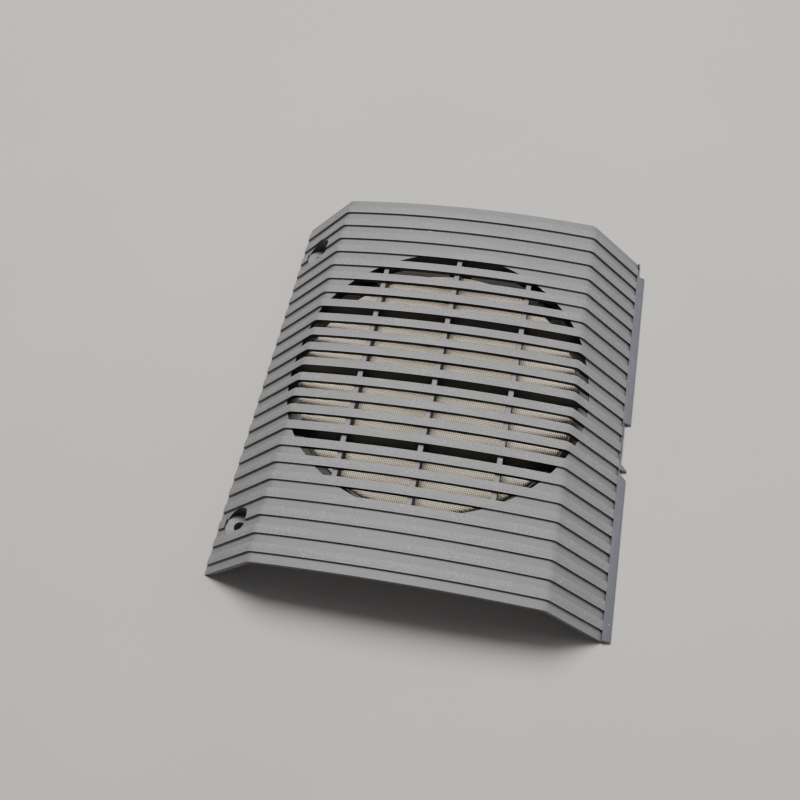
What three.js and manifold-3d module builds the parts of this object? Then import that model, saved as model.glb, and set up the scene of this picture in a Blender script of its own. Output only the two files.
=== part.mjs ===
// Moulded loudspeaker grille cover with its cloth panel, cloth ring and push-on clips.
// Millimetres, +Z up. The cover lies on its two side edges, and its bars run along X.
import * as THREE from 'three';
import { mergeVertices } from 'three/addons/utils/BufferGeometryUtils.js';
import Module from 'manifold-3d';

const wasm = await Module();
wasm.setup();

// ---- driving dimensions -------------------------------------------------------------------
const coverLength = 188;        // along Y, across the bars
const coverWidth = 164.2;       // along X, between the ends of the bars, without the tongues
const foldHeight = 26.6;        // from the resting edges to the bar tops at the folds
const crownWidth = 117.3;       // middle facet, between the two folds
const crownRise = 3.6;          // the crown arches up this far between the folds
const edgeHeight = 1.6;         // height of the bar ends above the resting plane
const wall = 1.8;               // thickness of the moulding under the grooves

const barPitch = 8;
const barWidth = 4;
const barRise = 1.1;            // bar top above the groove floor
const barDepth = 2;             // whole thickness of a bar where it crosses the opening

const openingRadius = 65;
const rimWall = 2;              // collar round the opening, under the cover
const ribWidth = 2.2;
const ribDepth = 6.2;           // from the folds down to the lower edge of the ribs
const deepRibEvery = 4;         // every fourth bar carries a deep rib

const clothInset = 5;           // gap between the cloth's edge and the edge of the opening
const clothThickness = 0.6;
const ringWidth = 7;
const ringHeight = 3;
const ringFlange = 1.6;         // thickness of the ring's flange and ears
const flangeReach = 1;          // how far the flange stands out past the cloth
const earRadius = 5;

const pegRadius = 1.5;
const pegShoulderRadius = 3;
const pegGap = 1;               // between the collar and the shoulders of the pegs
const pegSpread = 40;           // degrees from the middle peg to its neighbours
const pegTail = 1.8;            // peg length that stands out of the clip
const clipRadius = 4.5;
const clipThickness = 0.5;

const recessRadius = 6;         // counterbore for a screw head
const screwHoleRadius = 2.4;
const bossWall = 2;
const seatHeight = 4.4;         // screw seat above the resting plane
const screwFromEdge = 10.1;     // screw axis to the end of the bars
const screwFromEnd = 21.6;      // screw axis to the end of the cover

const tongueReach = 2.7;        // tongues stand out this far past the bar ends
const tongueInset = 1;          // tongues start this far inside the bar ends, where the grooves stop
const tongueHeight = 2.6;       // top of the tongues where the bars meet them
const tongueTip = 1;            // thickness of the tongues' outer edge
const tongueRoot = 1;           // overlap of the tongues with the side wall, below the grooves
const tongueRootHeight = 0.6;
const tongueChamfer = 3.2;      // slanted start of the front tongue
const tongueBackInset = 8;      // back tongue to the far end of the cover
const tongueGapBack = 4.4;      // gap between the tongues, measured from the middle
const tongueGapFront = -22.8;
const tabBack = -14.8;          // small tab that stands in the gap
const tabFront = -18.8;

const clearance = 0.3;          // gap left between pieces that touch
const roundSegments = 96;
const smallSegments = 32;
const archSegments = 4;         // flats from a fold to the middle of the crown
const overrun = 1;              // cutting tools reach this far past what they cut

// ---- derived sizes ------------------------------------------------------------------------
const halfLength = coverLength / 2;
const halfWidth = coverWidth / 2;
const halfCrown = crownWidth / 2;
const slope = Math.atan2(foldHeight - edgeHeight, halfWidth - halfCrown);
const topHeight = foldHeight + crownRise;
const archRadius = (halfCrown ** 2 + crownRise ** 2) / (2 * crownRise);
const archCentreZ = topHeight - archRadius;
const grooveWidth = barPitch - barWidth;
const barCount = Math.floor((coverLength - grooveWidth) / barPitch);
const middleBar = Math.floor(barCount / 2);
const barCentre = (index) => (index - (barCount - 1) / 2) * barPitch;

const clothRadius = openingRadius - clothInset;
const barUndersideAtCloth = Math.max(0, clothRadius - halfCrown) * Math.tan(slope)
  + barDepth / Math.cos(slope);
const ribDrop = Math.max(ribDepth, barUndersideAtCloth + clearance);
const clothTop = foldHeight - ribDrop - clearance;
const ringTop = clothTop - clothThickness - clearance;
const ringBottom = ringTop - ringHeight;
const flangeTop = ringBottom + ringFlange;
const ringRadius = clothRadius - clothThickness - clearance;
const pegCircle = openingRadius + rimWall + pegGap + pegShoulderRadius;
const clipTop = ringBottom - clearance;
const screwX = -(halfWidth - screwFromEdge);
const screwY = halfLength - screwFromEnd;

// ---- solids -------------------------------------------------------------------------------
function solidOf(geometry) {
  const bare = geometry.clone();
  bare.deleteAttribute('normal');
  bare.deleteAttribute('uv');
  const merged = mergeVertices(bare, 1e-5);
  return new wasm.Manifold(new wasm.Mesh({
    numProp: 3,
    vertProperties: new Float32Array(merged.attributes.position.array),
    triVerts: new Uint32Array(merged.index.array),
  }));
}

function geometryOf(solid) {
  const mesh = solid.getMesh();
  const geometry = new THREE.BufferGeometry();
  geometry.setAttribute('position', new THREE.BufferAttribute(mesh.vertProperties, 3));
  geometry.setIndex(new THREE.BufferAttribute(mesh.triVerts, 1));
  return geometry;
}

const joined = (solids) => solids.reduce((whole, part) => whole.add(part));

function box(x0, x1, y0, y1, z0, z1) {
  const geometry = new THREE.BoxGeometry(x1 - x0, y1 - y0, z1 - z0);
  geometry.translate((x0 + x1) / 2, (y0 + y1) / 2, (z0 + z1) / 2);
  return solidOf(geometry);
}

function upright(radius, z0, z1, x = 0, y = 0, segments = smallSegments) {
  const geometry = new THREE.CylinderGeometry(radius, radius, z1 - z0, segments);
  geometry.rotateX(Math.PI / 2);
  geometry.translate(x, y, (z0 + z1) / 2);
  return solidOf(geometry);
}

// A ring of revolution about Z from its closed section of [radius, height] points.
function turned(section, segments = roundSegments) {
  const points = [...section, section[0]].map(([radius, height]) => new THREE.Vector2(radius, height));
  const geometry = new THREE.LatheGeometry(points, segments);
  geometry.rotateX(Math.PI / 2);
  return geometry;
}

// An XZ outline pushed along Y from y0 to y1.
function alongY(outline, y0, y1) {
  const shape = new THREE.Shape(outline.map(([x, z]) => new THREE.Vector2(x, z)));
  const geometry = new THREE.ExtrudeGeometry(shape, { depth: y1 - y0, bevelEnabled: false });
  geometry.rotateX(Math.PI / 2);
  geometry.translate(0, y1, 0);
  return solidOf(geometry);
}

// The fold at a depth under the bar tops: where the arch of the crown meets the sloping side.
function foldPoint(depth) {
  const fromCentre = halfCrown * Math.sin(slope) + (foldHeight - archCentreZ) * Math.cos(slope) - depth;
  const along = -Math.sqrt((archRadius - depth) ** 2 - fromCentre ** 2);
  return [
    fromCentre * Math.sin(slope) + along * Math.cos(slope),
    archCentreZ + fromCentre * Math.cos(slope) - along * Math.sin(slope),
  ];
}

// Half of the folded section at a depth under the bar tops, from the foot up to the middle.
function foldedHalf(depth) {
  const [foldX, foldZ] = foldPoint(depth);
  const footX = foldX + foldZ / Math.tan(slope);
  const endZ = foldZ - (halfWidth - foldX) * Math.tan(slope);
  const foot = footX <= halfWidth ? [[footX, 0]] : [[halfWidth, 0], [halfWidth, endZ]];
  const radius = archRadius - depth;
  const foldAngle = Math.asin(foldX / radius);
  const arch = Array.from({ length: archSegments + 1 }, (_, step) => {
    const angle = foldAngle * (1 - step / archSegments);
    return [radius * Math.sin(angle), archCentreZ + radius * Math.cos(angle)];
  });
  return [...foot, ...arch];
}

// The folded line from the foot on the right to the foot on the left.
function foldedLine(depth) {
  const half = foldedHalf(depth);
  return [...half, ...half.slice(0, -1).reverse().map(([x, z]) => [-x, z])];
}

// Everything under the folded surface at a depth, down to the resting plane.
function under(depth, y0 = -halfLength, y1 = halfLength) {
  return alongY(foldedLine(depth), y0, y1);
}

// The folded sheet between two depths.
function sheet(outer, inner, y0, y1) {
  return alongY([...foldedLine(outer), ...foldedLine(inner).reverse()], y0, y1);
}

// ---- grille cover -------------------------------------------------------------------------
function bars() {
  return Array.from({ length: barCount }, (_, index) => {
    const y = barCentre(index);
    return sheet(0, barDepth, y - barWidth / 2, y + barWidth / 2);
  });
}

function ribs() {
  const bottom = foldHeight - ribDrop;
  const reach = openingRadius + rimWall;
  const lengthways = [-1, 0, 1].map((side) => {
    const x = side * openingRadius / 2;
    return box(x - ribWidth / 2, x + ribWidth / 2, -reach, reach, bottom, topHeight);
  });
  const crossways = [];
  for (let index = middleBar % deepRibEvery; index < barCount; index += deepRibEvery) {
    const front = barCentre(index) - barWidth / 2;
    if (Math.abs(front) < openingRadius) {
      crossways.push(box(-reach, reach, front, front + ribWidth, bottom, topHeight));
    }
  }
  const inOpening = upright(openingRadius + rimWall / 2, 0, topHeight, 0, 0, roundSegments);
  return joined([...lengthways, ...crossways]).intersect(inOpening).intersect(under(barRise + wall / 4));
}

function tongues() {
  const inner = halfWidth - tongueInset;
  const outer = halfWidth + tongueReach;
  const rootX = inner - tongueRoot;
  const section = [
    [rootX, 0], [outer, 0], [outer, tongueTip],
    [inner, tongueHeight], [inner, tongueRootHeight], [rootX, tongueRootHeight],
  ];
  const back = alongY(section, tongueGapBack, halfLength - tongueBackInset);
  const front = alongY(section, -halfLength, tongueGapFront + tongueChamfer);
  const tab = alongY(section, tabFront, tabBack);
  const chamfer = [tongueGapFront + tongueChamfer, tabBack].map((y) => {
    const corner = new THREE.Shape([
      [halfWidth, y], [outer + overrun, y - tongueChamfer - tongueChamfer * overrun / tongueReach],
      [outer + overrun, y + overrun], [halfWidth, y + overrun],
    ].map(([x, cornerY]) => new THREE.Vector2(x, cornerY)));
    return solidOf(new THREE.ExtrudeGeometry(corner, { depth: tongueHeight + overrun, bevelEnabled: false }));
  });
  return joined([back, tab, front]).subtract(joined(chamfer));
}

// Angles of the pegs round the opening, three at the back and three at the front.
function pegAngles() {
  return [90, 270].flatMap((middle) => [-pegSpread, 0, pegSpread].map((turn) => middle + turn));
}

function pegPlaces() {
  return pegAngles().map((degrees) => {
    const angle = THREE.MathUtils.degToRad(degrees);
    return [pegCircle * Math.cos(angle), pegCircle * Math.sin(angle)];
  });
}

function grilleCover() {
  const midWall = under(barRise + wall / 2);
  const plate = sheet(barRise, barRise + wall, -halfLength, halfLength);
  const collar = upright(openingRadius + rimWall, foldHeight - ribDrop, topHeight, 0, 0, roundSegments);
  const opening = upright(openingRadius, -overrun, topHeight + overrun, 0, 0, roundSegments);
  const screwYs = [-screwY, screwY];
  const bosses = screwYs.map((y) => upright(recessRadius + bossWall, 0, topHeight, screwX, y));
  const recesses = screwYs.map((y) => upright(recessRadius, seatHeight, topHeight + overrun, screwX, y));
  const holes = screwYs.map((y) => upright(screwHoleRadius, -overrun, topHeight, screwX, y));
  const pegs = pegPlaces().flatMap(([x, y]) => [
    upright(pegShoulderRadius, flangeTop + clearance, topHeight, x, y),
    upright(pegRadius, clipTop - clipThickness - pegTail, topHeight, x, y),
  ]);
  const underside = joined([collar, ...bosses, ...pegs]).intersect(midWall);
  return plate.add(underside).subtract(opening)
    .add(joined([...bars(), ribs(), tongues()]))
    .subtract(joined([...recesses, ...holes]));
}

// ---- cloth panel and its ring -------------------------------------------------------------
function clothPanel() {
  const skirtRadius = clothRadius - clothThickness;
  const skirtFoot = flangeTop + clearance;
  return turned([
    [0, clothTop - clothThickness], [skirtRadius, clothTop - clothThickness],
    [skirtRadius, skirtFoot], [clothRadius, skirtFoot],
    [clothRadius, clothTop], [0, clothTop],
  ]);
}

function clothRing() {
  const band = solidOf(turned([
    [ringRadius - ringWidth, ringBottom], [clothRadius + flangeReach, ringBottom],
    [clothRadius + flangeReach, flangeTop], [ringRadius, flangeTop],
    [ringRadius, ringTop], [ringRadius - ringWidth, ringTop],
  ]));
  const ears = pegAngles().map((degrees) => {
    const angle = THREE.MathUtils.degToRad(degrees);
    const arm = new THREE.BoxGeometry(pegCircle - ringRadius + ringWidth / 2, 2 * earRadius, ringFlange);
    arm.translate((pegCircle + ringRadius - ringWidth / 2) / 2, 0, ringBottom + ringFlange / 2);
    arm.rotateZ(angle);
    const [x, y] = [pegCircle * Math.cos(angle), pegCircle * Math.sin(angle)];
    return solidOf(arm).add(upright(earRadius, ringBottom, flangeTop, x, y));
  });
  const holes = pegPlaces().map(([x, y]) => (
    upright(pegRadius + clearance, ringBottom - overrun, flangeTop + overrun, x, y)));
  return band.add(joined(ears)).subtract(joined(holes));
}

function retainingClip() {
  return turned([
    [pegRadius + clearance, clipTop - clipThickness], [clipRadius, clipTop - clipThickness],
    [clipRadius, clipTop], [pegRadius + clearance, clipTop],
  ], smallSegments);
}

// ---- materials and assembly ---------------------------------------------------------------
const greyPlastic = new THREE.MeshStandardMaterial({ color: 0x76777a, roughness: 0.6, metalness: 0 });
const taupeCloth = new THREE.MeshStandardMaterial({ color: 0x9c9182, roughness: 0.95, metalness: 0 });
const blackPlastic = new THREE.MeshStandardMaterial({ color: 0x1e1f20, roughness: 0.7, metalness: 0 });
const springSteel = new THREE.MeshStandardMaterial({ color: 0x8b8d90, roughness: 0.35, metalness: 0.9 });

function piece(name, geometry, material) {
  const mesh = new THREE.Mesh(geometry, material);
  mesh.name = name;
  return mesh;
}

const assembly = new THREE.Group();
assembly.add(piece('grille_cover', geometryOf(grilleCover()), greyPlastic));
assembly.add(piece('cloth_panel', clothPanel(), taupeCloth));
assembly.add(piece('cloth_ring', geometryOf(clothRing()), blackPlastic));
pegPlaces().forEach(([x, y], index) => {
  const clip = piece(`retaining_clip_${index + 1}`, retainingClip(), springSteel);
  clip.position.set(x, y, 0);
  assembly.add(clip);
});

// The tongues stand out on one side only, so the bars' middle is off the middle of the whole.
assembly.position.x = -tongueReach / 2;
const speakerGrille = new THREE.Group();
speakerGrille.add(assembly);

export default speakerGrille;
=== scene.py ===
"""Moulded loudspeaker grille cover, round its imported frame: moulding, cloth, ring and clips."""
import math
from contextlib import contextmanager

import bmesh
import bpy
from bpy.props import FloatProperty, FloatVectorProperty, IntProperty, PointerProperty
from mathutils import Matrix, Vector, noise


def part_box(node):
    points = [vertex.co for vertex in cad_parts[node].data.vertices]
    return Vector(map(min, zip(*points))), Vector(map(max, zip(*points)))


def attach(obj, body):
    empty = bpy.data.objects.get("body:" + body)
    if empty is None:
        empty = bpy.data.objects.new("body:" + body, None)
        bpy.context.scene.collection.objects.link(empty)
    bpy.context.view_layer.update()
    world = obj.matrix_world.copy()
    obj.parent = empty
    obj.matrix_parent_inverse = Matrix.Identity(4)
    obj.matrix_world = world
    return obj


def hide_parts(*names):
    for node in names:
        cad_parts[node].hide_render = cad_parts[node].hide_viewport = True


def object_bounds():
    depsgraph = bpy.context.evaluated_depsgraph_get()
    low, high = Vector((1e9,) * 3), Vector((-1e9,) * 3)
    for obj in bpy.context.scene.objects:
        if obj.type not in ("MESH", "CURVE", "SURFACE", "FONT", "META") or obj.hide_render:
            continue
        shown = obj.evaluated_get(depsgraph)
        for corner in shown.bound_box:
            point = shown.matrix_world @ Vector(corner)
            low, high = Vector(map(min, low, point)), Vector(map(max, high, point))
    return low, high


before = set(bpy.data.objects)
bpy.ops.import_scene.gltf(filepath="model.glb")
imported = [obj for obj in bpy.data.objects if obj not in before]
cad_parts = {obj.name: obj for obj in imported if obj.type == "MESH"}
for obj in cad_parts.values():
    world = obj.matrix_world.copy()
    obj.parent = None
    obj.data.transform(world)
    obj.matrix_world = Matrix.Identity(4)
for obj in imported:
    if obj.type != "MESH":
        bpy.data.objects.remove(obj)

bl_info = {
    "name": "Loudspeaker Grille Cover",
    "version": (1, 0, 0),
    "blender": (4, 5, 0),
    "location": "View3D > Sidebar > Grille",
    "description": "Builds a moulded loudspeaker cover with its cloth, ring and clips",
    "category": "Add Mesh",
}

CAD_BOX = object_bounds()
MM = 0.001
CUT_OVERRUN = 1 * MM      # cutting tools reach this far past what they cut
ROUND_SIDES = 160         # sides of the opening, the collar and the ring
CLOTH_SIDES = 128
SMALL_SIDES = 48          # sides of bosses, pegs, ears and clips
HOLE_SIDES = 32           # sides of the ear holes
BORE_SIDES = 24           # sides of the clips' bores
ARCH_CUTS = 12            # flats from the middle of the crown to a fold
FOLD_SEGMENTS = 4         # steps of the rounding along a fold
BAR_END_SEGMENTS = 4
BAR_EDGE_SEGMENTS = 3
BORDER_DROP = 0.25 * MM   # the border lies this far under the bar tops
BLEND = 0.1 * MM          # width over which one finish turns into the next
END_SLACK = 0.1 * MM      # slack when picking the edges round a bar's end
RIB_EDGE = 0.15 * MM      # rounding of the ribs' edges
RIB_INSET = 0.01 * MM     # keeps a deep rib's face off its bar's face
TONGUE_ROUNDING = 0.3 * MM
TONGUE_ROOT = 1 * MM      # overlap of the tongues with the side wall
WEAVE_TURN = math.radians(3)  # the cloth lies a little askew
CLIP_COUNT = 6
MOULDING_SMOOTH = 32      # flatter edges of the moulding are shaded smooth
CLOTH_SMOOTH = 60
FINE_ANGLE = 40           # sharper edges of the ring and the clips are rounded
FINE_SMOOTH = 35          # flatter edges of the ring and the clips are shaded smooth
CLOTH_RINGS = 30          # rings of faces from the cloth's edge to its middle
SAG_POWER = 6             # the sag is even across the cloth and ends close to the ring
SAG_UNEVEN = 0.9          # share of the sag that varies from place to place
SAG_WAVES = (38, 55, 3.7)  # waves per metre across and along, and where they start
FLOOR_SIZE = 6
FLOOR_GAP = 0.1 * MM      # the floor lies this far under the resting edges
KEY_PLACE, KEY_SIZE, KEY_TINT = (-0.2, 0.5, 1.35), 0.75, (1, 0.985, 0.965)
FILL_PLACE, FILL_SIZE, FILL_TINT = (0.95, 0.35, 0.8), 1, (0.97, 0.98, 1)
DAYLIGHT_TINT = (0.9, 0.93, 1)
LOOK_AT = (-14.5 * MM, -13.25 * MM)  # point on the cover that the camera looks at
LOOK_DROP = 0.2 * MM      # and how far it lies under the folds
SENSOR_WIDTH = 36


def distance(name, description, default_mm):
    return FloatProperty(name=name, description=description, default=default_mm * MM,
                         subtype="DISTANCE", unit="LENGTH", precision=5)


def colour(name, description, default):
    return FloatVectorProperty(name=name, description=description, default=default,
                               subtype="COLOR", size=3, min=0, max=1)


class MouldingSettings(bpy.types.PropertyGroup):
    """Sizes of the moulded cover"""
    crown_width: distance("Crown width", "Middle facet between the two folds", 117.3)
    crown_rise: distance("Crown rise", "How far the crown arches up between the folds", 3.6)
    edge_height: distance("Edge height", "Height of the bar ends above the resting plane", 1.6)
    wall: distance("Wall", "Thickness of the moulding under the grooves", 1.8)
    fold_radius: distance("Fold rounding", "Width of the rounding along the folds", 1.4)
    bar_pitch: distance("Bar pitch", "Distance from one bar to the next", 8)
    bar_width: distance("Bar width", "Width of a bar's foot", 4)
    bar_rise: distance("Bar rise", "Height of a bar over the groove floor", 1.1)
    bar_depth: distance("Bar depth", "Thickness of a bar where it crosses the opening", 2)
    bar_edge: distance("Bar edge rounding", "Rounding along a bar's long edges", 0.28)
    bar_end: distance("Bar end rounding", "Rounding of a bar's corners at its ends", 1.5)
    border_width: distance("Border width", "Raised border past the bars on the tongue side", 1)
    opening_radius: distance("Opening radius", "Round opening in front of the loudspeaker", 65)
    rim_wall: distance("Collar wall", "Collar round the opening, under the cover", 2)
    rib_width: distance("Rib width", "Thickness of the ribs in the opening", 2.2)
    rib_depth: distance("Rib depth", "Folds to the lower edge of the ribs", 6.2)
    deep_rib_every: IntProperty(name="Deep rib every", default=4, min=1,
                                description="One bar in this many carries a deep rib")
    screw_from_edge: distance("Screw from edge", "Screw axis to the ends of the bars", 10.1)
    screw_from_end: distance("Screw from end", "Screw axis to the end of the cover", 21.6)
    recess_radius: distance("Recess radius", "Counterbore for a screw head", 6)
    hole_radius: distance("Hole radius", "Hole for the screw", 2.4)
    boss_wall: distance("Boss wall", "Wall round the counterbore", 2)
    seat_height: distance("Seat height", "Screw seat above the resting plane", 4.4)
    tongue_reach: distance("Tongue reach", "Tongues past the ends of the bars", 2.7)
    tongue_inset: distance("Tongue inset", "Start of the tongues inside the bar ends", 1)
    tongue_height: distance("Tongue height", "Top of the tongues where the bars meet them", 2.6)
    tongue_tip: distance("Tongue tip", "Thickness of the tongues' outer edge", 1)
    tongue_chamfer: distance("Tongue chamfer", "Slanted start of the tongues", 3.2)
    tongue_gap_back: distance("Gap back", "Back end of the gap between the tongues", 4.4)
    tongue_gap_front: distance("Gap front", "Front end of the gap between the tongues", -19.6)
    tab_back: distance("Tab back", "Back end of the small tab", -14.8)
    tab_front: distance("Tab front", "Front end of the small tab", -18.8)


class FixingSettings(bpy.types.PropertyGroup):
    """Sizes of the pegs, the carrier ring and the push-on clips"""
    peg_radius: distance("Peg radius", "Peg that a clip grips", 1.5)
    shoulder_radius: distance("Shoulder radius", "Thicker root of a peg", 3)
    shoulder_gap: distance("Shoulder gap", "Shoulder to the ring's ear", 0.3)
    peg_tail: distance("Peg tail", "Peg length that stands out of the clip", 1.8)
    peg_root: distance("Peg root", "Top of the peg inside its shoulder, below the crown", 4)
    peg_rounding: distance("Peg rounding", "Rounding of the peg's ends", 0.4)
    flange: distance("Ring flange", "Thickness of the ring's flange and ears", 1.6)
    flange_reach: distance("Flange reach", "Flange past the cloth's edge", 1)
    band_inset: distance("Band inset", "Band inside the cloth's edge", 0.9)
    band_sink: distance("Band sink", "Lower end of the band inside the flange", 0.5)
    bore_inset: distance("Bore inset", "Bore of the ring inside the cloth's edge", 7.9)
    ear_radius: distance("Ear radius", "Round end and half the width of an ear", 5)
    ear_root: distance("Ear root", "Start of an ear inside the cloth's edge", 4)
    ear_hole: distance("Ear hole radius", "Hole in an ear for its peg", 1.8)
    ring_rounding: distance("Ring rounding", "Rounding of the ring's edges", 0.2)
    clip_bore: distance("Clip bore radius", "Bore of a clip", 1.65)
    clip_teeth: IntProperty(name="Clip teeth", default=6, min=3,
                            description="Teeth round a clip's bore")
    slot_length: distance("Slot length", "Reach of the slots between the teeth", 3)
    slot_half: distance("Slot half width", "Half the width of a slot between two teeth", 0.3)
    clip_rounding: distance("Clip rounding", "Rounding of a clip's edges", 0.08)


class ClothSettings(bpy.types.PropertyGroup):
    """Sizes of the stretched cloth"""
    thickness: distance("Thickness", "Thickness of the cloth", 0.5)
    thread_pitch: distance("Thread pitch", "Distance from one thread to the next", 0.78)
    edge_rounding: distance("Edge rounding", "Rounding where the cloth turns over the ring", 1.5)
    bulge: distance("Bulge", "How far the cloth sags inside the ring", 0.25)
    cut: distance("Cut size", "Width of the flat cloth before it is turned down", 122)


class StageSettings(bpy.types.PropertyGroup):
    """Lights, daylight and camera"""
    key_power: FloatProperty(name="Key power", default=23, min=0,
                             description="Soft light from behind, W")
    fill_power: FloatProperty(name="Fill power", default=5, min=0,
                              description="Soft light from the right, W")
    daylight: FloatProperty(name="Daylight", default=0.14, min=0,
                            description="Even light from all round")
    azimuth: FloatProperty(name="Azimuth", default=17.72, description="Camera round the cover, degrees")
    elevation: FloatProperty(name="Elevation", default=58.63, description="Camera height, degrees")
    roll: FloatProperty(name="Roll", default=-7.53, description="Camera tilt, degrees")
    lens: FloatProperty(name="Lens", default=44.76, min=1, description="Focal length, mm")
    camera_distance: distance("Camera distance", "Camera to the point that it looks at", 419.9)


class LooksSettings(bpy.types.PropertyGroup):
    """Colours of the finishes"""
    plastic: colour("Plastic", "Mid-grey moulded plastic", (0.235, 0.233, 0.24))
    cloth_light: colour("Cloth threads", "Light threads of the cloth", (0.95, 0.83, 0.66))
    # painted shade: near-black colour for the gaps between the cloth's threads, where the dark space
    # behind the cloth shows
    cloth_gap_shade: colour("Cloth gaps", "Gaps between the threads", (0.05, 0.036, 0.024))
    floor: colour("Floor", "Plain pale floor", (0.62, 0.59, 0.55))


# ---- modelling helpers --------------------------------------------------------------------
def select_only(*pieces):
    bpy.ops.object.select_all(action="DESELECT")
    for piece in pieces:
        piece.select_set(True)
    bpy.context.view_layer.objects.active = pieces[0]


def place_applied(piece):
    select_only(piece)
    bpy.ops.object.transform_apply(location=True, rotation=True, scale=True)
    return piece


def add_box(name, low, high):
    """A box between two corners."""
    low, high = Vector(low), Vector(high)
    bpy.ops.object.select_all(action="DESELECT")
    bpy.ops.mesh.primitive_cube_add(size=1, location=(low + high) / 2)
    piece = bpy.context.object
    piece.name = name
    piece.scale = high - low
    return place_applied(piece)


def add_rod(name, radius, low, high, place=(0, 0), sides=SMALL_SIDES):
    """An upright cylinder."""
    bpy.ops.object.select_all(action="DESELECT")
    bpy.ops.mesh.primitive_cylinder_add(vertices=sides, radius=radius, depth=high - low,
                                        location=(place[0], place[1], (low + high) / 2))
    piece = bpy.context.object
    piece.name = name
    return place_applied(piece)


@contextmanager
def editing(piece, select="DESELECT"):
    """Edit mode on one piece, with everything or nothing selected."""
    select_only(piece)
    bpy.ops.object.mode_set(mode="EDIT")
    bpy.ops.mesh.select_mode(type="EDGE")
    bpy.ops.mesh.select_all(action=select)
    yield bmesh.from_edit_mesh(piece.data)
    bpy.ops.object.mode_set(mode="OBJECT")


def pick_edges(piece, mesh, test):
    """Selects the edges whose two ends pass a test, and says how many."""
    bpy.ops.mesh.select_all(action="DESELECT")
    found = [edge for edge in mesh.edges if test(*(vertex.co for vertex in edge.verts))]
    for edge in found:
        edge.select = True
    mesh.select_flush(True)
    bmesh.update_edit_mesh(piece.data)
    return len(found)


def pick_vertices(piece, mesh, test):
    """Selects the vertices that pass a test."""
    bpy.ops.mesh.select_mode(type="VERT")
    bpy.ops.mesh.select_all(action="DESELECT")
    for vertex in mesh.verts:
        vertex.select = test(vertex.co)
    mesh.select_flush_mode()
    bmesh.update_edit_mesh(piece.data)


def apply_modifiers(piece):
    select_only(piece)
    for modifier in list(piece.modifiers):
        bpy.ops.object.modifier_apply(modifier=modifier.name)
    return piece


def combine(piece, others, operation):
    """Boolean join, cut or overlap. The other pieces are used up."""
    for other in others:
        modifier = piece.modifiers.new(operation.title(), "BOOLEAN")
        modifier.operation = operation
        modifier.solver = "MANIFOLD"
        modifier.object = other
        apply_modifiers(piece)
        bpy.data.objects.remove(other)
    return piece


def joined(pieces):
    select_only(*pieces)
    if len(pieces) > 1:
        bpy.ops.object.join()
    return bpy.context.object


def copy_of(piece, name, shift):
    """A copy with a mesh of its own, moved by a shift that is applied."""
    twin = piece.copy()
    twin.data = piece.data.copy()
    twin.name = name
    bpy.context.collection.objects.link(twin)
    twin.location = shift
    return place_applied(twin)


def bevel_edges(piece, width, segments, angle=30):
    """Small rounding on every sharp edge."""
    modifier = piece.modifiers.new("Rounding", "BEVEL")
    modifier.width = width
    modifier.segments = segments
    modifier.limit_method = "ANGLE"
    modifier.angle_limit = math.radians(angle)
    return apply_modifiers(piece)


def smooth(piece, angle=30):
    select_only(piece)
    bpy.ops.object.shade_smooth_by_angle(angle=math.radians(angle))


def near(a, b, tolerance=0.02 * MM):
    return abs(a - b) < tolerance


# ---- the folded section -------------------------------------------------------------------
class Section:
    """The cover's folded section, worked out from the frame and the moulding's sizes."""

    def __init__(self, sizes):
        low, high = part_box("grille_cover")
        self.low, self.high = Vector(low), Vector(high)
        self.half_length = (self.high.y - self.low.y) / 2
        self.half_width = (self.high.x - self.low.x - sizes.tongue_reach) / 2
        self.middle = self.low.x + self.half_width
        self.base = self.low.z
        self.top = self.high.z
        self.half_crown = sizes.crown_width / 2
        self.fold_height = self.top - sizes.crown_rise
        self.slope = math.atan2(self.fold_height - self.base - sizes.edge_height,
                                self.half_width - self.half_crown)
        self.arch_radius = (self.half_crown ** 2 + sizes.crown_rise ** 2) / (2 * sizes.crown_rise)
        self.arch_centre = self.top - self.arch_radius

    def fold(self, depth):
        """Distance of the fold from the middle at a depth under the bar tops."""
        rise = self.fold_height - self.arch_centre
        away = self.half_crown * math.sin(self.slope) + rise * math.cos(self.slope) - depth
        along = -math.sqrt((self.arch_radius - depth) ** 2 - away ** 2)
        return away * math.sin(self.slope) + along * math.cos(self.slope)

    def arch(self, away, depth):
        """Height of the arched crown at a distance from the middle."""
        return self.arch_centre + math.sqrt((self.arch_radius - depth) ** 2 - away ** 2)

    def surface(self, x, depth=0):
        """Height of the folded surface, at a depth under the bar tops."""
        away, fold = abs(x - self.middle), self.fold(depth)
        if away <= fold:
            return self.arch(away, depth)
        return self.arch(fold, depth) - (away - fold) * math.tan(self.slope)

    def flats(self):
        """Places where the arch of the crown is cut into flats."""
        return [self.middle + self.half_crown * step / ARCH_CUTS
                for step in range(1 - ARCH_CUTS, ARCH_CUTS)]


def cut_through(point, normal, **keep):
    """Cuts the whole mesh being edited with a plane."""
    bpy.ops.mesh.select_all(action="SELECT")
    bpy.ops.mesh.bisect(plane_co=point, plane_no=normal, **keep)


def folded_slab(name, section, outer, inner, back, front):
    """A sheet that follows the folded section between two depths and two ends."""
    top, bottom = section.top - outer, section.top - inner
    slab = add_box(name, (section.middle - section.half_width, front, bottom),
                   (section.middle + section.half_width, back, top))
    lean = math.atan2(section.fold(outer) - section.fold(inner), inner - outer)
    with editing(slab, "SELECT"):
        for side in (-1, 1):
            cut_through((section.middle + side * section.fold(outer), 0, top),
                        (side * math.cos(lean), 0, -math.sin(lean)))
        for x in section.flats():
            cut_through((x, 0, 0), (1, 0, 0))
    for vertex in slab.data.vertices:
        depth = outer if near(vertex.co.z, top) else inner
        vertex.co.z = section.surface(vertex.co.x, depth)
    with editing(slab, "SELECT"):
        cut_through((0, 0, section.base), (0, 0, 1), use_fill=True, clear_inner=True)
    return slab


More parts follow.
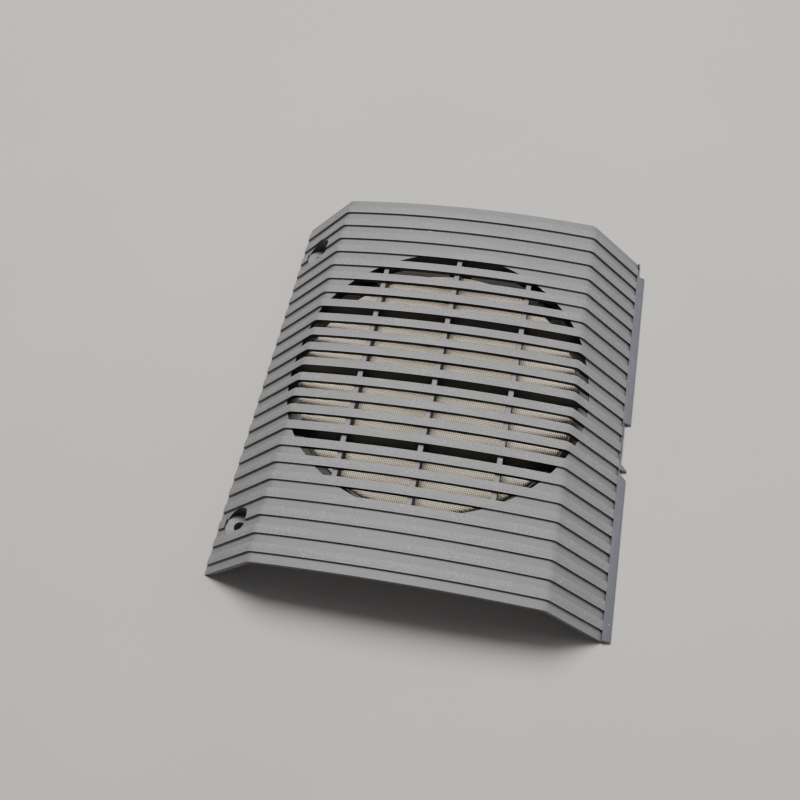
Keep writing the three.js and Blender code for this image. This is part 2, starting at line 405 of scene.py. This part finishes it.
def solid_under(name, section, depth):
    """Everything under the folded surface at a depth, down to the resting plane."""
    deep = section.base - (section.top - section.base)
    block = add_box(name, (section.middle - section.half_width, section.low.y, deep),
                    (section.middle + section.half_width, section.high.y, section.top))
    folds = [section.middle + side * section.fold(depth) for side in (-1, 1)]
    with editing(block, "SELECT"):
        for x in (*folds, *section.flats()):
            cut_through((x, 0, 0), (1, 0, 0))
    for vertex in block.data.vertices:
        if near(vertex.co.z, section.top):
            vertex.co.z = section.surface(vertex.co.x, depth)
    with editing(block, "SELECT"):
        cut_through((0, 0, section.base), (0, 0, 1), use_fill=True, clear_inner=True)
    return block


def round_folds(piece, section, outer, inner, width):
    """Rounds the two folds on both faces of a folded slab."""
    with editing(piece) as mesh:
        for depth in (outer, inner):
            fold = section.fold(depth)
            height = section.arch(fold, depth)
            count = pick_edges(piece, mesh, lambda a, b: near(a.x, b.x) and all(
                near(abs(co.x - section.middle), fold) and near(co.z, height) for co in (a, b)))
            if count != 2:
                raise RuntimeError(f"{piece.name} has {count} fold edges at {depth:.4f}")
            bpy.ops.mesh.bevel(offset=width, segments=FOLD_SEGMENTS, affect="EDGES",
                               clamp_overlap=True)


# ---- moulding -----------------------------------------------------------------------------
def bar_places(sizes, section):
    """Centres of the bars along the cover's length."""
    groove = sizes.bar_pitch - sizes.bar_width
    count = int((2 * section.half_length - groove) / sizes.bar_pitch + 0.01)
    return [(index - (count - 1) / 2) * sizes.bar_pitch for index in range(count)]


def model_bar(sizes, section):
    """One bar at the middle of the cover, with rounded folds and edges, and a rounded screw end."""
    half = sizes.bar_width / 2
    bar = folded_slab("bar", section, 0, sizes.bar_depth, half, -half)
    with editing(bar) as mesh:
        pick_edges(bar, mesh, lambda a, b: all(
            near(co.x, section.middle - section.half_width) for co in (a, b)) and near(a.y, b.y))
        bpy.ops.mesh.bevel(offset=sizes.bar_end, segments=BAR_END_SEGMENTS, affect="EDGES",
                           clamp_overlap=True)
    round_folds(bar, section, 0, sizes.bar_depth, sizes.fold_radius)
    with editing(bar) as mesh:
        def along_top(a, b):
            level = (sizes.bar_depth / 2) / math.cos(section.slope)
            high = all(co.z > section.surface(co.x) - level for co in (a, b))
            outside = all(near(abs(co.y), half) or section.middle - co.x
                          > section.half_width - sizes.bar_end - END_SLACK for co in (a, b))
            crossing = abs(a.y - b.y) > half
            return high and outside and not crossing
        pick_edges(bar, mesh, along_top)
        bpy.ops.mesh.bevel(offset=sizes.bar_edge, segments=BAR_EDGE_SEGMENTS, affect="EDGES",
                           clamp_overlap=True)
    return bar


def model_bars(sizes, section):
    first = model_bar(sizes, section)
    copies = [copy_of(first, f"bar_{index}", (0, place, 0))
              for index, place in enumerate(bar_places(sizes, section))]
    bpy.data.objects.remove(first)
    return joined(copies)


def model_border(sizes, section):
    """Narrow raised border that closes the grooves along the tongue side."""
    border = folded_slab("border", section, BORDER_DROP, sizes.bar_rise + sizes.wall / 2,
                         section.high.y, section.low.y)
    edge = section.middle + section.half_width
    keep = add_box("keep", (edge - sizes.border_width, section.low.y - CUT_OVERRUN,
                            section.base - CUT_OVERRUN),
                   (edge + CUT_OVERRUN, section.high.y + CUT_OVERRUN, section.top))
    return combine(border, [keep], "INTERSECT")


def model_plate(sizes, section):
    """Groove floor and wall, pierced by the round opening."""
    inner = sizes.bar_rise + sizes.wall
    plate = folded_slab("plate", section, sizes.bar_rise, inner, section.high.y, section.low.y)
    round_folds(plate, section, sizes.bar_rise, inner, sizes.fold_radius)
    opening = add_rod("opening", sizes.opening_radius, section.base - CUT_OVERRUN,
                      section.top + CUT_OVERRUN, (section.middle, 0), ROUND_SIDES)
    return combine(plate, [opening], "DIFFERENCE")


def model_collar(sizes, section):
    """Collar that hangs under the opening's edge."""
    low = section.fold_height - sizes.rib_depth
    centre = (section.middle, 0)
    collar = add_rod("collar", sizes.opening_radius + sizes.rim_wall, low, section.top, centre,
                     ROUND_SIDES)
    hollow = add_rod("hollow", sizes.opening_radius, low - CUT_OVERRUN, section.top + CUT_OVERRUN,
                     centre, ROUND_SIDES)
    combine(collar, [hollow], "DIFFERENCE")
    middle_of_wall = sizes.bar_rise + sizes.wall / 2
    return combine(collar, [solid_under("clip_block", section, middle_of_wall)], "INTERSECT")


def model_ribs(sizes, section):
    """Three ribs along the cover and the deep ribs under every few bars, cut to the opening."""
    low = section.fold_height - sizes.rib_depth
    reach = sizes.opening_radius + sizes.rim_wall
    half = sizes.rib_width / 2
    under_groove = sizes.bar_rise + sizes.wall / 4
    lines = [section.middle + side * sizes.opening_radius / 2 for side in (-1, 0, 1)]
    lengthways = [add_box("rib", (x - half, -reach, low), (x + half, reach, section.top))
                  for x in lines]
    places = bar_places(sizes, section)
    middle_bar = len(places) // 2
    crossways = []
    for place in places[middle_bar % sizes.deep_rib_every::sizes.deep_rib_every]:
        front = place - sizes.bar_width / 2
        if abs(front) < sizes.opening_radius:
            crossways.append(add_box("deep_rib", (section.middle - reach, front + RIB_INSET, low),
                                     (section.middle + reach, front + sizes.rib_width,
                                      section.top)))
    ribs = combine(lengthways[0], lengthways[1:] + crossways, "UNION")
    limit = add_rod("limit", sizes.opening_radius + sizes.rim_wall / 2, section.base, section.top,
                    (section.middle, 0), ROUND_SIDES)
    combine(ribs, [limit, solid_under("clip_block", section, under_groove)], "INTERSECT")
    return bevel_edges(ribs, RIB_EDGE, 1)


def screw_places(sizes, section):
    x = section.middle - section.half_width + sizes.screw_from_edge
    y = section.half_length - sizes.screw_from_end
    return [(x, -y), (x, y)]


def clip_boxes():
    """Lower and upper corners of the six clips."""
    return [tuple(Vector(corner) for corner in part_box(f"retaining_clip_{index}"))
            for index in range(1, CLIP_COUNT + 1)]


def model_bosses_and_pegs(sizes, fixings, section):
    """Screw bosses, and the shouldered pegs over the clips."""
    rods = [add_rod("boss", sizes.recess_radius + sizes.boss_wall, section.base, section.top, place)
            for place in screw_places(sizes, section)]
    shoulder_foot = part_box("cloth_ring")[0][2] + fixings.flange + fixings.shoulder_gap
    for low, high in clip_boxes():
        place = ((low + high) / 2)[:2]
        rods.append(add_rod("shoulder", fixings.shoulder_radius, shoulder_foot, section.top, place))
        rods.append(add_rod("peg", fixings.peg_radius, low.z - fixings.peg_tail,
                            section.top - fixings.peg_root, place))
        bevel_edges(rods[-1], fixings.peg_rounding, 3)
    block = solid_under("clip_block", section, sizes.bar_rise + sizes.wall / 2)
    rods_joined = combine(rods[0], rods[1:], "UNION")
    return combine(rods_joined, [block], "INTERSECT")


def model_tongue(name, sizes, section, front, back, chamfer):
    """A tongue along the edge: its top falls outwards, and its back end can be slanted."""
    low = section.base
    inner = section.middle + section.half_width - sizes.tongue_inset
    outer = section.high.x
    tongue = add_box(name, (inner, front, low), (outer, back, low + sizes.tongue_height))
    for vertex in tongue.data.vertices:
        if near(vertex.co.x, outer):
            if vertex.co.z > low + sizes.tongue_tip:
                vertex.co.z = low + sizes.tongue_tip
            if near(vertex.co.y, back):
                vertex.co.y -= chamfer
    bevel_edges(tongue, TONGUE_ROUNDING, 3, 15)
    root = add_box("root", (inner - TONGUE_ROOT, front, low),
                   (inner + 2 * TONGUE_ROUNDING, back - chamfer, low + sizes.tongue_tip / 2))
    return combine(tongue, [root], "UNION")


def model_tongues(sizes, section):
    """Back tongue, small tab and front tongue, as one loose set."""
    return joined([
        model_tongue("back_tongue", sizes, section, sizes.tongue_gap_back,
                     section.high.y - sizes.bar_pitch, 0),
        model_tongue("tab", sizes, section, sizes.tab_front, sizes.tab_back, sizes.tongue_chamfer),
        model_tongue("front_tongue", sizes, section, section.low.y, sizes.tongue_gap_front,
                     sizes.tongue_chamfer)])


def build_moulding(sizes, fixings, section):
    """The whole moulded cover: everything joined, then the screw recesses and holes cut."""
    moulding = model_plate(sizes, section)
    combine(moulding, [model_collar(sizes, section), model_bosses_and_pegs(sizes, fixings, section),
                       model_ribs(sizes, section), model_tongues(sizes, section),
                       model_border(sizes, section), model_bars(sizes, section)], "UNION")
    cutters = []
    for place in screw_places(sizes, section):
        seat = section.base + sizes.seat_height
        cutters += [add_rod("recess", sizes.recess_radius, seat, section.top + CUT_OVERRUN, place),
                    add_rod("hole", sizes.hole_radius, section.base - CUT_OVERRUN, section.top, place)]
    combine(moulding, cutters, "DIFFERENCE")
    moulding.name = moulding.data.name = "moulded_cover"
    return moulding


# ---- cloth --------------------------------------------------------------------------------
def build_cloth(sizes):
    """The cloth as one sheet, stretched over the ring and turned down round its edge."""
    low, high = (Vector(corner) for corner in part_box("cloth_panel"))
    centre = (low + high) / 2
    radius = (high.x - low.x) / 2
    flat = radius - sizes.edge_rounding
    cloth = add_rod("stretched_cloth", radius, low.z, high.z, centre[:2], CLOTH_SIDES)
    with editing(cloth) as mesh:
        bpy.ops.mesh.select_mode(type="FACE")
        for face in mesh.faces:
            face.select = face.normal.z < -0.5
        bpy.ops.mesh.delete(type="FACE")
        pick_edges(cloth, mesh, lambda a, b: near(a.z, high.z) and near(b.z, high.z))
        bpy.ops.mesh.bevel(offset=sizes.edge_rounding, segments=5, affect="EDGES")
        bpy.ops.mesh.select_mode(type="FACE")
        bpy.ops.mesh.select_all(action="DESELECT")
        mesh = bmesh.from_edit_mesh(cloth.data)
        for face in mesh.faces:
            face.select = len(face.verts) > 4
        bmesh.update_edit_mesh(cloth.data)
        for _ in range(CLOTH_RINGS):
            bpy.ops.mesh.inset(thickness=flat / (CLOTH_RINGS + 1))
        bpy.ops.mesh.poke()
    for vertex in cloth.data.vertices:
        away = math.hypot(vertex.co.x - centre.x, vertex.co.y - centre.y)
        inside = max(0.0, 1 - (away / flat) ** SAG_POWER)
        place = Vector((vertex.co.x * SAG_WAVES[0], vertex.co.y * SAG_WAVES[1], SAG_WAVES[2]))
        vertex.co.z -= sizes.bulge * inside * (1 + SAG_UNEVEN * noise.noise(place))
    solid = cloth.modifiers.new("Thickness", "SOLIDIFY")
    solid.thickness = sizes.thickness
    solid.offset = -1
    apply_modifiers(cloth)
    smooth(cloth, CLOTH_SMOOTH)
    return cloth


# ---- ring and clips -----------------------------------------------------------------------
def build_ring(fixings):
    """Carrier ring with a band for the cloth and six ears."""
    low, high = (Vector(corner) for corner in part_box("cloth_ring"))
    cloth_low, cloth_high = (Vector(corner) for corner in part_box("cloth_panel"))
    centre = (cloth_low + cloth_high) / 2
    radius = (cloth_high.x - cloth_low.x) / 2
    flange_top = low.z + fixings.flange
    ring = add_rod("carrier_ring", radius + fixings.flange_reach, low.z, flange_top, centre[:2],
                   ROUND_SIDES)
    band = add_rod("band", radius - fixings.band_inset, low.z + fixings.band_sink, high.z, centre[:2],
                   ROUND_SIDES)
    places = [(clip_low + clip_high) / 2 for clip_low, clip_high in clip_boxes()]
    ears = []
    for place in places:
        out = Vector((place.x - centre.x, place.y - centre.y, 0))
        ears.append(add_rod("ear", fixings.ear_radius, low.z, flange_top, place[:2]))
        arm = add_box("arm", (radius - fixings.ear_root, -fixings.ear_radius, low.z),
                      (out.length, fixings.ear_radius, flange_top))
        arm.rotation_euler.z = math.atan2(out.y, out.x)
        arm.location = (centre.x, centre.y, 0)
        ears.append(place_applied(arm))
    combine(ring, [band, *ears], "UNION")
    cutters = [add_rod("bore", radius - fixings.bore_inset, low.z - CUT_OVERRUN,
                       high.z + CUT_OVERRUN, centre[:2], ROUND_SIDES)]
    for place in places:
        cutters.append(add_rod("ear_hole", fixings.ear_hole, low.z - CUT_OVERRUN, high.z, place[:2],
                               HOLE_SIDES))
    combine(ring, cutters, "DIFFERENCE")
    bevel_edges(ring, fixings.ring_rounding, 2, FINE_ANGLE)
    smooth(ring, FINE_SMOOTH)
    return ring


def build_clip(fixings, low, high):
    """A flat push-on washer with teeth round its bore."""
    centre = (low + high) / 2
    radius = (high.x - low.x) / 2
    clip = add_rod("clip", radius, low.z, high.z, centre[:2])
    below, above = low.z - CUT_OVERRUN, high.z + CUT_OVERRUN
    cutters = [add_rod("bore", fixings.clip_bore, below, above, centre[:2], BORE_SIDES)]
    for tooth in range(fixings.clip_teeth):
        slot = add_box("slot", (0, -fixings.slot_half, below),
                       (fixings.slot_length, fixings.slot_half, above))
        slot.rotation_euler.z = tooth * math.tau / fixings.clip_teeth
        slot.location = (centre.x, centre.y, 0)
        cutters.append(place_applied(slot))
    combine(clip, cutters, "DIFFERENCE")
    bevel_edges(clip, fixings.clip_rounding, 2, FINE_ANGLE)
    smooth(clip, FINE_SMOOTH)
    return clip


def build_clips(fixings):
    """One clip, and a copy of it for each of the other places."""
    boxes = clip_boxes()
    first = build_clip(fixings, *boxes[0])
    first.name = first.data.name = "push_on_clip_1"
    middle = sum(boxes[0], Vector()) / 2
    return [first] + [copy_of(first, f"push_on_clip_{index}", (low + high) / 2 - middle)
                      for index, (low, high) in enumerate(boxes[1:], start=2)]


# ---- materials ----------------------------------------------------------------------------
class Nodes:
    """Short ways to add and join shader nodes in one material."""

    def __init__(self, name):
        self.material = bpy.data.materials.new(name)
        self.material.use_nodes = True
        self.tree = self.material.node_tree
        self.shader = self.tree.nodes["Principled BSDF"]
        self.place = self.add("ShaderNodeTexCoord").outputs["Object"]

    def add(self, kind, **settings):
        node = self.tree.nodes.new(kind)
        for key, value in settings.items():
            setattr(node, key, value)
        return node

    def put(self, socket, value):
        if isinstance(value, bpy.types.NodeSocket):
            self.tree.links.new(value, socket)
        else:
            socket.default_value = value

    def math(self, operation, *values, clamp=False):
        node = self.add("ShaderNodeMath", operation=operation, use_clamp=clamp)
        for socket, value in zip(node.inputs, values):
            self.put(socket, value)
        return node.outputs[0]

    def noise(self, scale, detail=2.0, stretch=(1, 1, 1), roughness=0.5):
        mapping = self.add("ShaderNodeMapping")
        self.put(mapping.inputs["Vector"], self.place)
        mapping.inputs["Scale"].default_value = stretch
        node = self.add("ShaderNodeTexNoise")
        self.put(node.inputs["Vector"], mapping.outputs[0])
        node.inputs["Scale"].default_value = scale
        node.inputs["Detail"].default_value = detail
        node.inputs["Roughness"].default_value = roughness
        return node.outputs["Fac"]

    def ramp(self, value, low, high, start=0.0, end=1.0):
        node = self.add("ShaderNodeMapRange", clamp=True)
        self.put(node.inputs["Value"], value)
        for socket, number in zip(list(node.inputs)[1:5], (low, high, start, end)):
            socket.default_value = number
        return node.outputs[0]

    def mix(self, amount, first, second):
        node = self.add("ShaderNodeMix", data_type="RGBA")
        self.put(node.inputs["Factor"], amount)
        for socket, value in ((node.inputs[6], first), (node.inputs[7], second)):
            self.put(socket, value if isinstance(value, bpy.types.NodeSocket) else (*value, 1.0))
        return node.outputs[2]

    def bump(self, height, strength, distance, under=None):
        node = self.add("ShaderNodeBump")
        node.inputs["Strength"].default_value = strength
        node.inputs["Distance"].default_value = distance
        self.put(node.inputs["Height"], height)
        if under is not None:
            self.put(node.inputs["Normal"], under)
        return node.outputs["Normal"]

    def finish(self, colour, roughness, normal):
        self.put(self.shader.inputs["Base Color"], colour)
        self.put(self.shader.inputs["Roughness"], roughness)
        self.put(self.shader.inputs["Normal"], normal)
        return self.material


def shade(base, factor):
    """A lighter or darker shade of a colour."""
    return tuple(min(1.0, channel * factor) for channel in base)


def plastic_finish(base, sizes, section):
    """Grained grey plastic: smooth grooves, speckled bar tops with worn front edges, dust, and painted
    shade on upright faces.
    """
    nodes = Nodes("grained_grey_plastic")
    split = nodes.add("ShaderNodeSeparateXYZ")
    nodes.put(split.inputs[0], nodes.place)
    across, along = split.outputs[0], split.outputs[1]
    # where a bar's top and its front edge lie, counted in bar pitches
    phase = nodes.math("FRACT", nodes.math("MULTIPLY_ADD", along, 1 / sizes.bar_pitch, 0.5))
    away = nodes.math("ABSOLUTE", nodes.math("SUBTRACT", phase, 0.5))
    on_bar = nodes.ramp(away, 0.27, 0.25)
    worn_edge = nodes.math("MULTIPLY", nodes.ramp(phase, 0.32, 0.27, 0, 0.5), on_bar)
    clouds = nodes.noise(22, 3)
    patches = nodes.noise(70, 4)
    streaks = nodes.noise(420, 3, (0.06, 1, 1))
    grain = nodes.noise(2600, 2)
    speckle = nodes.noise(1900, 1)
    dust = nodes.noise(640, 0)
    # cloudy grey with pale streaks, a little darker in the grooves
    tone = nodes.mix(nodes.ramp(clouds, 0.35, 0.65), shade(base, 0.93), shade(base, 1.07))
    tone = nodes.mix(nodes.ramp(streaks, 0.5, 0.75, 0, 0.35), tone, shade(base, 1.3))
    tone = nodes.mix(nodes.math("MULTIPLY_ADD", on_bar, -0.5, 0.5), tone, shade(base, 0.85))
    # pale and dark speckle, mostly on the bar tops
    sparkle = nodes.math("MULTIPLY", nodes.ramp(speckle, 0.52, 0.68),
                         nodes.ramp(patches, 0.4, 0.62, 0.15, 0.6))
    sparkle = nodes.math("MULTIPLY", sparkle, nodes.math("MULTIPLY_ADD", on_bar, 0.85, 0.15))
    tone = nodes.mix(sparkle, tone, shade(base, 2.1))
    tone = nodes.mix(worn_edge, tone, shade(base, 1.6))
    tone = nodes.mix(nodes.ramp(speckle, 0.42, 0.3, 0, 0.4), tone, shade(base, 0.6))
    # painted shade on upright faces, heaviest inside the opening
    facing = nodes.add("ShaderNodeSeparateXYZ")
    nodes.put(facing.inputs[0], nodes.add("ShaderNodeTexCoord").outputs["Normal"])
    upright = nodes.ramp(nodes.math("ABSOLUTE", facing.outputs[2]), 0.42, 0.12)
    from_middle = nodes.math("SUBTRACT", across, section.middle)
    away_squared = nodes.math("ADD", nodes.math("POWER", from_middle, 2.0),
                              nodes.math("POWER", along, 2.0))
    painted_shade_strength = nodes.ramp(away_squared, (sizes.opening_radius + 3 * BLEND) ** 2,
                       (sizes.opening_radius + BLEND) ** 2, 0.6, 0.97)
    # painted shade: upright faces are mixed towards a near-black shade of the plastic, most strongly
    # inside the opening
    tone = nodes.mix(nodes.math("MULTIPLY", upright, painted_shade_strength), tone, shade(base, 0.06))
    # the border and the tongues are darker and bluer, with pale scuffs
    scuffs = nodes.ramp(nodes.noise(900, 3, (1, 0.1, 1)), 0.55, 0.8, 0, 0.35)
    cool = (base[0] * 0.5, base[1] * 0.53, base[2] * 0.6)
    border = section.middle + section.half_width - sizes.border_width
    on_border = nodes.ramp(across, border - BLEND, border + BLEND, 0, 0.85)
    tone = nodes.mix(on_border, tone, nodes.mix(scuffs, cool, shade(base, 1.3)))
    tone = nodes.mix(nodes.ramp(dust, 0.86, 0.88, 0, 0.8), tone, (0.62, 0.6, 0.52))
    return nodes.finish(tone, nodes.ramp(clouds, 0.3, 0.7, 0.5, 0.62), nodes.bump(grain, 0.4, 0.00015))


def cloth_finish(light, dark, pitch):
    """Open plain weave: each thread passes over and under the ones that cross it, with painted shade in
    the gaps.
    """
    nodes = Nodes("open_weave_cloth")
    mapping = nodes.add("ShaderNodeMapping")
    nodes.put(mapping.inputs["Vector"], nodes.place)
    mapping.inputs["Rotation"].default_value = (0, 0, WEAVE_TURN)
    mapping.inputs["Scale"].default_value = (math.pi / pitch,) * 3
    split = nodes.add("ShaderNodeSeparateXYZ")
    nodes.put(split.inputs[0], mapping.outputs[0])
    across = nodes.math("SINE", split.outputs[0])
    along = nodes.math("SINE", split.outputs[1])

    def thread(this, other, sign):
        side = nodes.math("SIGN", this)
        wave = nodes.math("MULTIPLY", nodes.math("MULTIPLY", side, other), 0.35 * sign)
        return nodes.math("MULTIPLY", nodes.math("ABSOLUTE", this), nodes.math("ADD", wave, 0.65))

    height = nodes.math("MAXIMUM", thread(across, along, 1), thread(along, across, -1))
    fuzz = nodes.noise(3200, 2)
    clouds = nodes.noise(45, 3)
    slubs = nodes.noise(700, 2, (0.12, 1, 1))
    body = nodes.mix(nodes.ramp(clouds, 0.35, 0.65), shade(light, 0.85), shade(light, 1.08))
    body = nodes.mix(nodes.ramp(slubs, 0.55, 0.75, 0, 0.4), body, shade(light, 1.3))
    body = nodes.mix(nodes.ramp(fuzz, 0.4, 0.7, 0, 0.3), body, shade(light, 0.7))
    # painted shade: the low places of the weave, between the threads, are mixed towards the near-black
    # gap colour
    tone = nodes.mix(nodes.ramp(height, 0.36, 0.66), dark, body)
    normal = nodes.bump(height, 0.7, 0.0002)
    normal = nodes.bump(fuzz, 0.3, 0.00005, normal)
    nodes.shader.inputs["Sheen Weight"].default_value = 0.25
    nodes.shader.inputs["Sheen Roughness"].default_value = 0.6
    return nodes.finish(tone, 0.92, normal)


def black_finish():
    """Plain black moulding of the carrier ring."""
    nodes = Nodes("black_plastic")
    clouds = nodes.noise(60, 3)
    grain = nodes.noise(2200, 2)
    tone = nodes.mix(nodes.ramp(clouds, 0.35, 0.65), (0.014, 0.014, 0.015), (0.03, 0.03, 0.031))
    return nodes.finish(tone, nodes.ramp(clouds, 0.3, 0.7, 0.45, 0.65), nodes.bump(grain, 0.3, 0.0001))


def steel_finish():
    """Rolled spring steel with fine lines and a few dull spots."""
    nodes = Nodes("spring_steel")
    lines = nodes.noise(1500, 3, (0.05, 1, 1))
    clouds = nodes.noise(300, 3)
    tone = nodes.mix(nodes.ramp(clouds, 0.4, 0.7), (0.42, 0.42, 0.43), (0.28, 0.26, 0.24))
    nodes.shader.inputs["Metallic"].default_value = 1.0
    return nodes.finish(tone, nodes.ramp(lines, 0.3, 0.7, 0.28, 0.45), nodes.bump(lines, 0.2, 0.00005))


def floor_finish(base):
    """Plain pale floor with a faint unevenness."""
    nodes = Nodes("pale_floor")
    clouds = nodes.noise(6, 3)
    tone = nodes.mix(nodes.ramp(clouds, 0.3, 0.7), shade(base, 0.97), shade(base, 1.03))
    return nodes.finish(tone, 0.75, nodes.bump(nodes.noise(400, 2), 0.1, 0.0002))


def dress(piece, material):
    piece.data.materials.clear()
    piece.data.materials.append(material)


# ---- operators ----------------------------------------------------------------------------
class GRILLE_OT_moulding(bpy.types.Operator):
    """Model the moulded cover: plate, bars, ribs, bosses, pegs and tongues"""
    bl_idname = "grille.moulding"
    bl_label = "Moulded Cover"

    def execute(self, context):
        scene = context.scene
        sizes, section = scene.grille_moulding, Section(scene.grille_moulding)
        moulding = build_moulding(sizes, scene.grille_fixings, section)
        smooth(moulding, MOULDING_SMOOTH)
        dress(moulding, plastic_finish(tuple(scene.grille_looks.plastic), sizes, section))
        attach(moulding, "root")
        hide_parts("grille_cover")
        return {"FINISHED"}


class GRILLE_OT_cloth(bpy.types.Operator):
    """Model the cloth stretched over its ring"""
    bl_idname = "grille.cloth"
    bl_label = "Cloth Panel"

    def execute(self, context):
        sizes, looks = context.scene.grille_cloth, context.scene.grille_looks
        cloth = build_cloth(sizes)
        dress(cloth, cloth_finish(tuple(looks.cloth_light), tuple(looks.cloth_gap_shade),
                                  sizes.thread_pitch))
        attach(cloth, "root")
        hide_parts("cloth_panel")
        return {"FINISHED"}


class GRILLE_OT_ring(bpy.types.Operator):
    """Model the ring that carries the cloth"""
    bl_idname = "grille.ring"
    bl_label = "Carrier Ring"

    def execute(self, context):
        ring = build_ring(context.scene.grille_fixings)
        dress(ring, black_finish())
        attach(ring, "root")
        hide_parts("cloth_ring")
        return {"FINISHED"}


class GRILLE_OT_clips(bpy.types.Operator):
    """Model the push-on clips that hold the ring"""
    bl_idname = "grille.clips"
    bl_label = "Push-on Clips"

    def execute(self, context):
        steel = steel_finish()
        for index, clip in enumerate(build_clips(context.scene.grille_fixings), start=1):
            dress(clip, steel)
            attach(clip, "root")
            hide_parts(f"retaining_clip_{index}")
        return {"FINISHED"}


def add_light(name, location, size, power, tint):
    """A round soft light that points at the cover."""
    data = bpy.data.lights.new(name, "AREA")
    data.shape = "DISK"
    data.size = size
    data.energy = power
    data.color = tint
    light = bpy.data.objects.new(name, data)
    bpy.context.collection.objects.link(light)
    light.location = location
    light.rotation_euler = (-Vector(location)).to_track_quat("-Z", "Y").to_euler()


class GRILLE_OT_stage(bpy.types.Operator):
    """Set up the floor, the soft lights and the camera"""
    bl_idname = "grille.stage"
    bl_label = "Stage"

    def execute(self, context):
        settings = context.scene.grille_stage
        low, high = (Vector(corner) for corner in CAD_BOX)
        bpy.ops.object.select_all(action="DESELECT")
        bpy.ops.mesh.primitive_plane_add(size=FLOOR_SIZE, location=(0, 0, low.z - FLOOR_GAP))
        floor = place_applied(context.object)
        floor.name = "floor"
        dress(floor, floor_finish(tuple(context.scene.grille_looks.floor)))
        add_light("key_light", KEY_PLACE, KEY_SIZE, settings.key_power, KEY_TINT)
        add_light("fill_light", FILL_PLACE, FILL_SIZE, settings.fill_power, FILL_TINT)
        world = bpy.data.worlds.new("studio")
        world.use_nodes = True
        background = world.node_tree.nodes["Background"]
        background.inputs["Color"].default_value = (*DAYLIGHT_TINT, 1)
        background.inputs["Strength"].default_value = settings.daylight
        context.scene.world = world
        fold_height = high.z - context.scene.grille_moulding.crown_rise
        self.add_camera(context, settings, Vector((*LOOK_AT, fold_height - LOOK_DROP)))
        return {"FINISHED"}

    def add_camera(self, context, settings, target):
        azimuth, elevation, roll = (math.radians(angle) for angle in (
            settings.azimuth, settings.elevation, settings.roll))
        turn = (Matrix.Rotation(azimuth, 4, "Z") @ Matrix.Rotation(math.pi / 2 - elevation, 4, "X")
                @ Matrix.Rotation(roll, 4, "Z"))
        data = bpy.data.cameras.new("camera")
        data.lens = settings.lens
        data.sensor_width = SENSOR_WIDTH
        camera = bpy.data.objects.new("camera", data)
        context.collection.objects.link(camera)
        back = turn @ Vector((0, 0, settings.camera_distance))
        camera.matrix_world = Matrix.Translation(target + back) @ turn
        context.scene.camera = camera


class GRILLE_PT_panel(bpy.types.Panel):
    """Sidebar panel that lists the pieces"""
    bl_idname = "GRILLE_PT_panel"
    bl_label = "Grille Cover"
    bl_space_type = "VIEW_3D"
    bl_region_type = "UI"
    bl_category = "Grille"

    def draw(self, context):
        for operator in OPERATORS:
            self.layout.operator(operator.bl_idname)


SETTINGS = {"grille_moulding": MouldingSettings, "grille_fixings": FixingSettings,
            "grille_cloth": ClothSettings, "grille_looks": LooksSettings,
            "grille_stage": StageSettings}
OPERATORS = (GRILLE_OT_moulding, GRILLE_OT_cloth, GRILLE_OT_ring, GRILLE_OT_clips, GRILLE_OT_stage)


def register():
    for item in (*SETTINGS.values(), *OPERATORS, GRILLE_PT_panel):
        bpy.utils.register_class(item)
    for name, group in SETTINGS.items():
        setattr(bpy.types.Scene, name, PointerProperty(type=group))


def unregister():
    for name in SETTINGS:
        delattr(bpy.types.Scene, name)
    for item in reversed((*SETTINGS.values(), *OPERATORS, GRILLE_PT_panel)):
        bpy.utils.unregister_class(item)


def main():
    register()
    bpy.ops.grille.moulding()
    bpy.ops.grille.cloth()
    bpy.ops.grille.ring()
    bpy.ops.grille.clips()
    bpy.ops.grille.stage()


if __name__ == "__main__":
    main()
